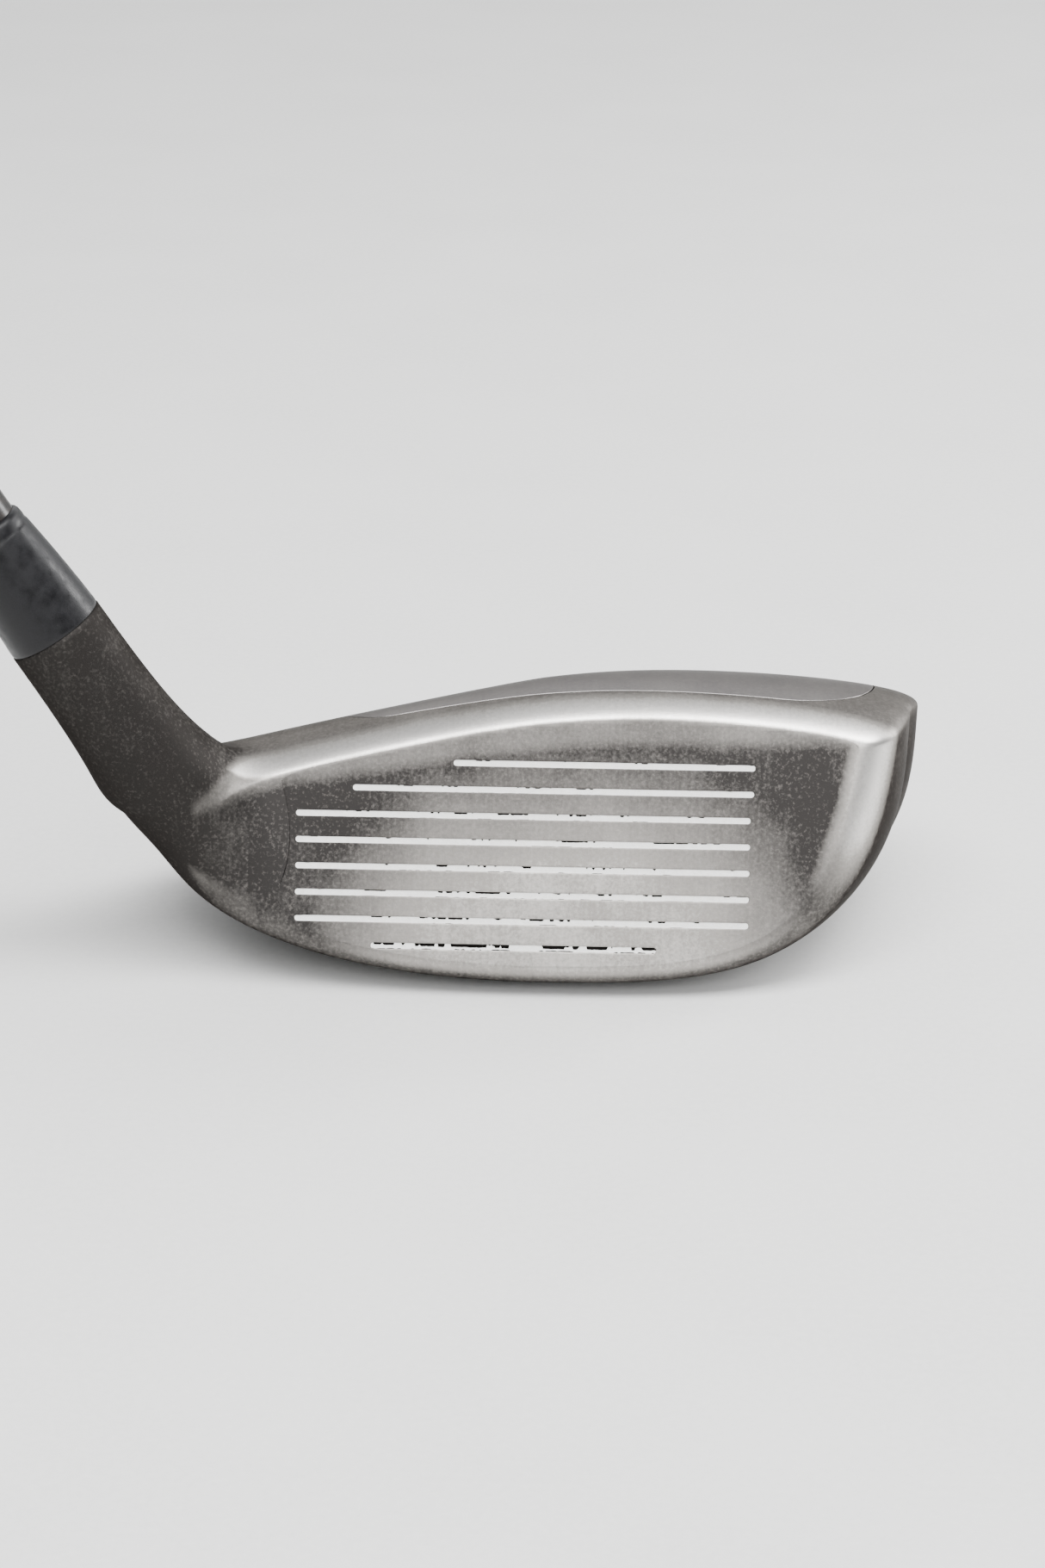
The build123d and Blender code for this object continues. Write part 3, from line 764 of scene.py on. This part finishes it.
class Head:
    """Cast body, face plate, crown plate and the paint of the score lines."""

    GROOVE_HALF = 0.41
    GROOVE_DEPTH = 0.45
    PAINT_DEPTH = 0.09
    PITCH = 3.5
    LOWEST = 7.6
    SEAM_GAP = 0.26
    SPANS = ((-9.4, 30.7), (-22.7, 30.6), *[(-30.2, 30.2)] * 5, (-20.0, 18.0))
    DAMAGE = (0.18, 0.22, 0.40, 0.38, 0.55, 0.48, 0.52, 0.95)
    ROWS = (34, 44, 130, 84)
    COLUMNS = 340
    FARTHEST = 75.0
    SPINE_HEIGHT = 24.0
    SPINE_Y = -2.0
    BEND = 13.5
    TOE_X = 33.0
    CHAMFER = 0.25
    BORE = 4.85

    def __init__(self, line: ShaftLine) -> None:
        """Keeps the shape and the axis.

        Args:
            line: The shaft's line.
        """
        self.line = line
        self.shape = HeadShape()
        last = len(self.SPANS) - 1
        self.lines = [
            ScoreLine(left, right, self.LOWEST + self.PITCH * (last - i), damage)
            for i, ((left, right), damage) in enumerate(zip(self.SPANS, self.DAMAGE))
        ]

    def spine(self) -> tuple[np.ndarray, np.ndarray, np.ndarray]:
        """Sections from the hosel end, round the heel, along the body and over the toe.

        Returns:
            The origin, the up direction and the tilt towards the toe of each section.
        """
        height, bend, toe_x = self.SPINE_HEIGHT, self.BEND, self.TOE_X
        lie = math.asin(self.line.direction[2])
        up = self.line.side if self.line.side[2] > 0 else -self.line.side
        bend_top = (height + bend * (1.0 - up[2])) / self.line.direction[2]
        pivot = self.line.foot + bend_top * self.line.direction + bend * up
        hosel_top = self.line.span("ferrule")[0] - self.CHAMFER
        along = np.linspace(hosel_top, bend_top, self.ROWS[0], endpoint=False)
        angle = np.linspace(lie, 0.0, self.ROWS[1], endpoint=False)
        x = np.linspace(pivot[0], toe_x, self.ROWS[2], endpoint=False)
        tilt = np.linspace(0.0, np.pi / 2, self.ROWS[3])
        first = self.line.foot + along[:, None] * self.line.direction
        around = np.stack([np.sin(angle), 0 * angle, np.cos(angle)], axis=-1)
        second = pivot - bend * around
        third = np.stack([x, 0 * x, np.full_like(x, height)], axis=-1)
        fourth = np.tile([toe_x, 0.0, height], (len(tilt), 1))
        origins = np.vstack([first, second, third, fourth])
        ups = np.vstack([np.tile(up, (len(first), 1)), around, np.tile(UPWARD, (len(x) + len(tilt), 1))])
        back = smooth_step((origins[:, 0] - self.line.foot[0]) / 30.0)
        origins[:, 1] = self.line.foot[1] + (self.SPINE_Y - self.line.foot[1]) * back
        tilts = np.concatenate([np.zeros(len(origins) - len(tilt)), tilt])
        return origins, ups, tilts

    def skin(self) -> Patch:
        """The head's whole outside, closed through the bore: rays from the spine, halved onto the formula."""
        origins, ups, tilts = self.spine()
        turn = np.linspace(0.0, 2 * np.pi, self.COLUMNS, endpoint=False)
        flat = np.cos(turn)[None, :, None] * ups[:, None, :] + np.sin(turn)[None, :, None] * BACKWARD
        rays = np.cos(tilts)[:, None, None] * flat + np.sin(tilts)[:, None, None] * ACROSS
        near, far = np.zeros(rays.shape[:2]), np.full(rays.shape[:2], self.FARTHEST)
        for _ in range(27):
            middle = (near + far) / 2
            points = origins[:, None, :] + middle[..., None] * rays
            inside = self.shape.outside(points, self.line) < 0
            near, far = np.where(inside, middle, near), np.where(inside, far, middle)
        grid = origins[:, None, :] + near[..., None] * rays
        grid[-1] = grid[-1].mean(axis=0)
        low, high = (np.array(corner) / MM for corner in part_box("head_body"))
        toe = grid[..., 0] - self.TOE_X
        stretched = self.TOE_X + toe * (high[0] - self.TOE_X) / toe.max()
        grid[..., 0] = np.where(toe > 0, stretched, grid[..., 0])
        bore = self.bore_rows(flat[0])
        return Patch.from_grid(np.clip(np.concatenate([bore, grid]), low, high), closed=True)

    def bore_rows(self, spokes: np.ndarray) -> np.ndarray:
        """Rows that close the hosel end: bore bottom, bore wall, end face and the chamfer's inner edge."""
        bore, edge = self.BORE, self.shape.hosel_radius - self.CHAMFER
        bottom, top = self.line.span("hosel_plug")[0], self.line.span("ferrule")[0]
        rings = ((0.0, bottom), (bore, bottom), (bore, top), (edge, top))
        centres = [self.line.foot + along * self.line.direction for _, along in rings]
        return np.stack([centre + radius * spokes for centre, (radius, _) in zip(centres, rings)])

    def wear_and_highlight(self, p: np.ndarray) -> np.ndarray:
        """How far the plating is rubbed away, with a painted highlight added: 0 not at all, 1 bare, more than 1
        polished, which on the top rim is partly a painted highlight.

        A hump low on the face, a band along the face's rounded rim that grows towards the top line and is
        partly a painted highlight there, the shoulders over the whole top above the rim, partly a painted
        lightening of the top, and the keel of the sole.

        Args:
            p: Points on the head.

        Returns:
            One number per point.
        """
        body, face = self.shape.body(p), self.shape.face(p)
        radius = self.shape.rounding(p[:, 2])
        up = (p - self.shape.face_origin) @ self.shape.face_up
        front = smooth_step((face + 4.5) / 3.0)
        hump = np.sqrt(np.abs((p[:, 0] - 6.0) / 32.0) ** 2.6 + np.abs((up + 2.0) / 31.0) ** 2.0)
        played = front * smooth_step((1.30 - hump) / 0.75) * (0.12 + 0.88 * smooth_step((face + 0.9) / 0.9))
        on_rim = smooth_step(1.0 - np.maximum(body, face))
        # painted highlight, partly rim wear: the band along the rounded rim, raised by upper towards the top
        # line and past 1 into near-white
        band = np.clip(1.0 - ((body - face + 0.2 * radius) / (1.2 * radius)) ** 2, 0.0, 1.0) * on_rim
        upper = 0.10 + 0.75 * smooth_step((p[:, 2] - 12.0) / 12.0)
        above = p[:, 2] - self.shape.rim(p[:, 0], p[:, 1])
        # painted lightening of the top, partly real rubbing: wear over everything above the rim
        shoulder = 0.40 * smooth_step((above + 1.0) / 2.5) * smooth_step(1.0 - body)
        sole = 0.30 * smooth_step((5.0 - p[:, 2]) / 5.0) * smooth_step((-face - 4.0) / 4.0)
        return np.maximum.reduce([0.95 * played, 1.75 * band * upper, shoulder, sole])

    def dress(self, piece: bpy.types.Object, painted_darkening: np.ndarray | None = None) -> None:
        """Stores the wear with its painted highlight, and the painted darkening, that the plated finish reads.
        """
        p = places(piece)
        store(piece, "wear_and_highlight", self.wear_and_highlight(p))
        # painted shade: darker towards the heel and up the hosel
        painted_heel_shade = 0.55 * smooth_step((-32.0 - p[:, 0]) / 16.0)
        store(piece, "painted_darkening", painted_heel_shade if painted_darkening is None else painted_darkening)

    def face_patch(self) -> Patch:
        """The flat of the face with its lines milled: depth is a steep step of the distance to each line."""
        half = self.GROOVE_HALF
        near = np.array([0.0, 0.15, 0.27, 0.35, 0.38, 0.41, 0.47, 0.6])
        near = np.concatenate([-near[:0:-1], near])
        heights = np.array([line.height for line in self.lines])
        even = np.linspace(2.0, 41.0, 80)
        even = even[np.abs(even[:, None] - heights).min(axis=1) > 0.65]
        v = np.sort(np.concatenate([even, (heights[:, None] + near).ravel()]))
        ends = np.unique([[line.left, line.right - half] for line in self.lines])
        fine = (ends[:, None] + np.linspace(-0.06, half + 0.06, 10)).ravel()
        u = np.unique(np.round(np.concatenate([np.linspace(-50.0, 50.0, 201), fine]), 3))
        across, up = np.meshgrid(u, v)
        off = np.min([line.off(across, up, half) for line in self.lines], axis=0)
        wall = 1.0 - smooth_step((off - half + 0.06) / 0.06)
        burr = 1.0 - smooth_step((off - half) / 0.08)
        depth = self.GROOVE_DEPTH * wall + 0.02 * burr
        shape = self.shape
        flat = shape.face_origin + across[..., None] * ACROSS + up[..., None] * shape.face_up
        limit = shape.plate_limit(flat, self.line)
        grid = flat - depth[..., None] * shape.face_normal
        patch = Patch.from_grid(grid.transpose(1, 0, 2), closed=False)
        cut, rim = patch.trimmed(limit.T.ravel())
        return cut.with_lip(rim, 0.0, 0.5)

    def face_plate(self) -> bpy.types.Object:
        """The face plate, painted darker down in its lines by depth."""
        piece = self.face_patch().to_object("face_plate_look", sharp=35.0)
        depth = -self.shape.face(places(piece))
        self.dress(piece, smooth_step((depth - 0.05) / 0.2))
        stand_for(piece, "face_plate", FACE_STEEL.build())
        return piece

    @staticmethod
    def bite(u: np.ndarray, weak: np.ndarray, seed: int) -> np.ndarray:
        """How deep paint has broken away from a line's edge, 0 to 1: two sizes of noise with steep sides.

        Args:
            u: Distance along the line.
            weak: How weak the paint is there, 0 to 1.
            seed: Chooses the pattern.

        Returns:
            One share per point.
        """
        coarse = value_noise(u / 2.6 + 11, 0 * u, seed)
        mixed = 0.55 * coarse + 0.45 * value_noise(u / 0.45 + 43, 0 * u, seed + 7)
        return smooth_step((mixed - 0.68 + 0.22 * weak) / 0.10)

    def paint(self, number: int, line: ScoreLine, material: bpy.types.Material) -> bpy.types.Object:
        """Paint of one line: a strip sunk below the face, with chips really missing.

        Args:
            number: The line's number, from the top.
            line: Its ends, height and damage.
            material: Enamel.

        Returns:
            The strip.
        """
        half = self.GROOVE_HALF - 0.012
        u = np.arange(line.left, line.right, 0.09)
        v = line.height + half * np.sin(np.linspace(-np.pi / 2, np.pi / 2, 17))
        across, up = np.meshgrid(u, v)
        off = line.off(across, up, self.GROOVE_HALF)
        side = (up - line.height) / half
        weak = line.damage * np.exp(-(((across - 2.0) / 24.0) ** 4))
        rough = value_noise(across / 0.28 + 70, up / 0.22, 31 + number)
        chip = np.maximum(
            side - 1.0 + self.bite(across, weak, number) * (0.15 + 1.1 * weak) + 0.30 * weak * (rough - 0.5),
            -side - 1.0 + self.bite(across, weak, number + 50) * 0.35 * weak + 0.15 * weak * (rough - 0.5),
        )
        depth = self.PAINT_DEPTH - 0.05 * (off / half) ** 4 + 0.02 * rough
        shape = self.shape
        grid = shape.face_origin + across[..., None] * ACROSS + up[..., None] * shape.face_up
        grid = grid - depth[..., None] * shape.face_normal
        value = np.maximum(off - half, chip)
        patch = Patch.from_grid(grid.transpose(1, 0, 2), closed=False)
        cut, rim = patch.trimmed(value.T.ravel())
        piece = cut.with_lip(rim, 0.0, 0.30).to_object(f"score_line_{number}_look", sharp=40.0)
        stand_for(piece, f"score_line_{number}", material)
        return piece

    def build(self) -> None:
        """Makes the body, both plates and the eight strips of paint."""
        skin = self.skin()
        plate = self.shape.plate_limit(skin.points, self.line)
        body, plate_rim = skin.trimmed(-plate)
        seam = self.shape.crown_limit(body.points)
        body, seam_rim = body.trimmed(self.SEAM_GAP / 2 - seam)
        body = body.with_lip(seam_rim, 0.05, 1.2).with_lip(plate_rim, 0.0, 0.5)
        cast = body.to_object("head_body_look")
        self.dress(cast)
        stand_for(cast, "head_body", CAST_STEEL.build())
        crown, rim = skin.trimmed(self.shape.crown_limit(skin.points) + self.SEAM_GAP / 2)
        top = crown.with_lip(rim, 0.05, 1.2).to_object("crown_plate_look")
        self.dress(top)
        stand_for(top, "crown_plate", CROWN_STEEL_LIGHTENED.build())
        self.face_plate()
        enamel = LINE_PAINT.build()
        for number, line in enumerate(self.lines, 1):
            self.paint(number, line, enamel)


# ------------------------------------------------------------------ ferrule and shaft
@dataclass
class Neck:
    """Ferrule and shaft.

    Attributes:
        line: The shaft's line.
        hosel_radius: Radius of the hosel, which the ferrule continues.
        waist: Height above the hosel end, and radius there.
        top_radius: Radius below the bead at the ferrule's top.
        bore: Radius of the ferrule's bore.
        tip: Radius of the shaft's parallel tip.
        parallel: Where the shaft's taper starts.
        butt: Radius of the shaft at the grip cap.
        walls: Wall of the shaft at the tip and at the butt.
    """

    line: ShaftLine
    hosel_radius: float = 6.6
    waist: tuple[float, float] = (9.0, 6.0)
    top_radius: float = 5.2
    bore: float = 4.75
    tip: float = 4.70
    parallel: float = 110.0
    butt: float = 7.62
    walls: tuple[float, float] = (1.5, 1.0)

    def ferrule(self) -> bpy.types.Object:
        """Collar: a quadratic curve from the hosel's radius to a small bead at the top."""
        low, high = self.line.span("ferrule")
        share = np.linspace(0.0, 1.0, 60)
        along = low + share * (high - low)
        middle, fall = self.waist[0] / (high - low), self.top_radius - self.hosel_radius
        bow = (self.waist[1] - self.hosel_radius - fall * middle) / (middle * (middle - 1))
        radius = self.hosel_radius - 0.03 + fall * share + bow * share * (share - 1)
        groove = 0.10 * np.exp(-(((high - along - 1.9) / 0.25) ** 2))
        foot = 0.10 * np.exp(-((along - low) / 0.12))
        shoulder = 0.45 * smooth_step((along - high + 0.55) / 0.55) ** 2
        radius = np.maximum(radius - groove - foot - shoulder, self.bore + 0.03)
        along = np.concatenate([[low], along, [high], [low]])
        radius = np.concatenate([[self.bore], radius, [self.bore], [self.bore]])
        collar = self.line.turned(along, np.repeat(radius[:, None], 96, axis=1))
        piece = collar.to_object("ferrule_look")
        stand_for(piece, "ferrule", FERRULE.build())
        return piece

    def shaft(self) -> bpy.types.Object:
        """Tube: parallel tip, then an even taper; the bore keeps the wall."""
        low, high = self.line.span("shaft")
        tip, rest = np.linspace(low, self.parallel, 30), np.linspace(self.parallel, high, 240)
        along = np.concatenate([tip, rest[1:]])
        taper = np.maximum(along - self.parallel, 0.0) / (high - self.parallel)
        outer = self.tip + (self.butt - self.tip) * taper
        inner = outer - self.walls[0] + (self.walls[0] - self.walls[1]) * taper
        path = np.concatenate([along, along[::-1], along[:1]])
        radius = np.concatenate([outer, inner[::-1], outer[:1]])
        piece = self.line.turned(path, np.repeat(radius[:, None], 64, axis=1)).to_object("shaft_look")
        away = places(piece) - self.line.foot
        store(piece, "along", away @ self.line.direction)
        angle = np.arctan2(away @ BACKWARD, away @ self.line.side)
        store(piece, "around", angle / (2 * math.pi))
        stand_for(piece, "shaft", WoundGraphite().build())
        return piece

    def build(self) -> None:
        """Makes both pieces."""
        self.ferrule()
        self.shaft()


# ------------------------------------------------------------------ grip
@dataclass
class Grip:
    """Grip sleeve and cap.

    Attributes:
        line: The shaft's line.
        mouth: Radius at the lower end.
        swell: Share of the length, and radius there.
        butt: Radius at the upper end.
        stud_pitch: Spacing of the moulded pattern along the grip.
        stud_count: Pattern cells round the grip.
        cut: Depth of the pattern.
        margins: Length of the plain bands at the mouth and at the butt.
        band: Middle and half width of the plain band between the hands.
        bore: Radius of the bore at the mouth and at the butt.
        vent: Radius of the vent hole.
        cap_edge: Size of the cap's chamfer.
    """

    line: ShaftLine
    mouth: float = 8.9
    swell: tuple[float, float] = (0.55, 10.6)
    butt: float = 13.1
    stud_pitch: float = 3.2
    stud_count: int = 22
    cut: float = 0.30
    margins: tuple[float, float] = (14.0, 16.0)
    band: tuple[float, float] = (118.0, 4.0)
    bore: tuple[float, float] = (6.95, 7.77)
    vent: float = 2.0
    cap_edge: float = 1.4

    def outline(self, share: np.ndarray) -> np.ndarray:
        """Radius along the grip: a parabola through mouth, swell and butt."""
        middle, radius = self.swell
        bow = (radius - self.mouth - (self.butt - self.mouth) * middle) / (middle * (middle - 1))
        return self.mouth + (self.butt - self.mouth) * share + bow * share * (share - 1)

    def sleeve(self) -> bpy.types.Object:
        """Sleeve whose outside is cut by staggered lozenges between plain bands."""
        low, high = self.line.span("grip")
        columns, rows = 176, 520
        along = np.linspace(low, high, rows)
        turn = np.linspace(0.0, 2 * np.pi, columns, endpoint=False)
        up = (along - low)[:, None]
        cell = np.cos(2 * np.pi * along / self.stud_pitch)[:, None] * np.cos(self.stud_count * turn)[None, :]
        lozenge = smooth_step((np.abs(cell) - 0.35) / 0.25)
        middle, half = self.band
        bands = np.minimum.reduce([
            smooth_step(up - self.margins[0]),
            smooth_step(high - low - up - self.margins[1]),
            smooth_step(np.abs(up - middle) - half),
        ])
        rings = np.exp(-(((up - middle + half) / 0.5) ** 2)) + np.exp(-(((up - middle - half) / 0.5) ** 2))
        lip = 0.7 * (1.0 - smooth_step(up / 1.2))
        radius = self.outline(up / (high - low)) - 0.05 - self.cut * lozenge * bands - self.cut * rings - lip
        inner = np.ones((1, columns))
        path = np.concatenate([[low], along, [high], [low]])
        radius = np.vstack([self.bore[0] * inner, radius, self.bore[1] * inner, self.bore[0] * inner])
        piece = self.line.turned(path, radius).to_object("grip_look", sharp=60.0)
        stand_for(piece, "grip", RUBBER.build())
        return piece

    def cap(self) -> bpy.types.Object:
        """Cap with a vent hole, two shallow rings and softened corners."""
        low, high = self.line.span("grip_cap")
        rim, flat = self.butt - 0.05, self.butt - self.cap_edge
        profile = [
            (self.vent, low), (rim, low), (rim, high - self.cap_edge), (flat, high),
            (9.6, high), (9.4, high - 0.25), (9.0, high - 0.25), (8.8, high),
            (4.2, high), (4.0, high - 0.25), (3.6, high - 0.25), (3.4, high),
            (self.vent, high), (self.vent, low),
        ]
        piece = self.line.solid_of(profile, 96, rounding=0.35).to_object("grip_cap_look", sharp=60.0)
        stand_for(piece, "grip_cap", CAP_RUBBER.build())
        return piece

    def build(self) -> None:
        """Makes both pieces."""
        self.sleeve()
        self.cap()


class InnerPieces:
    """Pieces inside the club, shown as their CAD meshes with real finishes."""

    FINISHES = {
        "sole_weight": (Slot.WEIGHT_STEEL, WEIGHT),
        "damper_pad": (Slot.HOT_MELT, HOT_MELT),
        "hosel_plug": (Slot.PLUG_PLASTIC, PLUG),
        "epoxy_sleeve": (Slot.EPOXY, EPOXY),
        "tip_weight": (Slot.BRASS, BRASS),
        "grip_tape": (Slot.TAPE, TAPE),
    }

    def build(self) -> None:
        """Gives each node its material."""
        for node, (slot, finish) in self.FINISHES.items():
            piece = frame["nodes"][node]
            piece.data.materials.clear()
            piece.data.materials.append(finish.build())
            log.info("%s: %s", node, finish.name)


# ------------------------------------------------------------------ studio
@dataclass(frozen=True)
class Softbox:
    """A soft area light.

    Attributes:
        name: Light name.
        place: Where it hangs, in metres.
        target: What it points at.
        size: Width and height.
        power: Watts.
        colour: Light colour.
    """

    name: str
    place: tuple[float, float, float]
    target: tuple[float, float, float]
    size: tuple[float, float]
    power: float
    colour: str = "#FFFFFF"

    def build(self) -> None:
        """Adds the light, turned to its target."""
        lamp = bpy.data.lights.new(self.name, "AREA")
        lamp.shape = "RECTANGLE"
        lamp.size, lamp.size_y = self.size
        lamp.energy = self.power
        lamp.color = srgb(self.colour)[:3]
        made = bpy.data.objects.new(self.name, lamp)
        made.location = self.place
        made.rotation_euler = (Vector(self.target) - Vector(self.place)).to_track_quat("-Z", "Y").to_euler()
        bpy.context.scene.collection.objects.link(made)


@dataclass
class Studio:
    """Floor, lights, surroundings and camera.

    Attributes:
        camera_place: Camera position in metres.
        pitch: How far the camera looks down, degrees.
        roll: How far the camera is turned about its view, degrees.
        lens: Focal length for a picture whose long side is 36 mm.
        boxes: The soft lights.
    """

    camera_place: tuple[float, float, float] = (-0.0002, -0.4417, 0.2173)
    pitch: float = 24.0
    roll: float = 1.1
    lens: float = 80.76
    boxes: tuple[Softbox, ...] = (
        Softbox("overhead_box", (0.1, -0.26, 0.85), (0.0, 0.0, 0.02), (1.1, 0.40), 19.0),
        Softbox("back_wall", (0.0, 1.3, 0.7), (0.0, 0.0, 0.03), (2.2, 1.0), 11.0),
        Softbox("front_box", (0.15, -1.0, 0.7), (0.0, 0.0, 0.02), (0.8, 0.6), 8.0),
        Softbox("side_strip", (0.75, 0.40, 0.30), (-0.02, 0.0, 0.05), (0.22, 0.5), 8.0),
    )

    def floor(self) -> None:
        """A wide pale floor that curves up into a backdrop, far enough to walk round the club."""
        half, bend, height, gap = 12000.0, 1500.0, 6000.0, 0.05
        turn = np.linspace(0.1, np.pi / 2, 14)
        u = np.linspace(-half, half, 9)
        run = np.concatenate([np.linspace(-half, half - bend, 12), half - bend + bend * np.sin(turn), [half]])
        rise = np.concatenate([np.zeros(12), bend * (1 - np.cos(turn)), [height]]) - gap
        grid = np.stack(np.broadcast_arrays(u[:, None], run[None, :], rise[None, :]), axis=-1)
        piece = Patch.from_grid(grid, closed=False).to_object("floor", sharp=80.0)
        paper = Finish("paper_backdrop_matt", "#E9E9E8", "#E2E2E1", 0.9, 0.03, 40.0, relief_mm=1.0, relief=0.02)
        piece.data.materials.append(paper.build())

    def surroundings(self) -> None:
        """Even, slightly cool light from all round."""
        world = bpy.data.worlds.new("studio_air")
        world.use_nodes = True
        world.node_tree.nodes["Background"].inputs["Color"].default_value = srgb("#F4F6F8")
        world.node_tree.nodes["Background"].inputs["Strength"].default_value = 0.35
        bpy.context.scene.world = world

    def camera(self) -> None:
        """The camera in front of the face, a little above it."""
        lens = bpy.data.cameras.new("camera")
        lens.sensor_fit = "VERTICAL"
        lens.sensor_height = 36.0
        lens.lens = self.lens
        lens.clip_start = 0.01
        made = bpy.data.objects.new("camera", lens)
        down = Matrix.Rotation(math.radians(90.0 - self.pitch), 4, "X")
        roll = Matrix.Rotation(math.radians(self.roll), 4, "Z")
        made.matrix_world = Matrix.Translation(self.camera_place) @ down @ roll
        bpy.context.scene.collection.objects.link(made)
        bpy.context.scene.camera = made

    def build(self) -> None:
        """Sets everything up."""
        self.floor()
        self.surroundings()
        self.camera()
        for box in self.boxes:
            box.build()


def main() -> None:
    """Builds the club's looks in order, then the studio."""
    logging.basicConfig(level=logging.INFO, format="%(name)s: %(message)s")
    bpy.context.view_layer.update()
    line = ShaftLine()
    Head(line).build()
    Neck(line).build()
    Grip(line).build()
    InnerPieces().build()
    Studio().build()


if __name__ == "__main__":
    main()
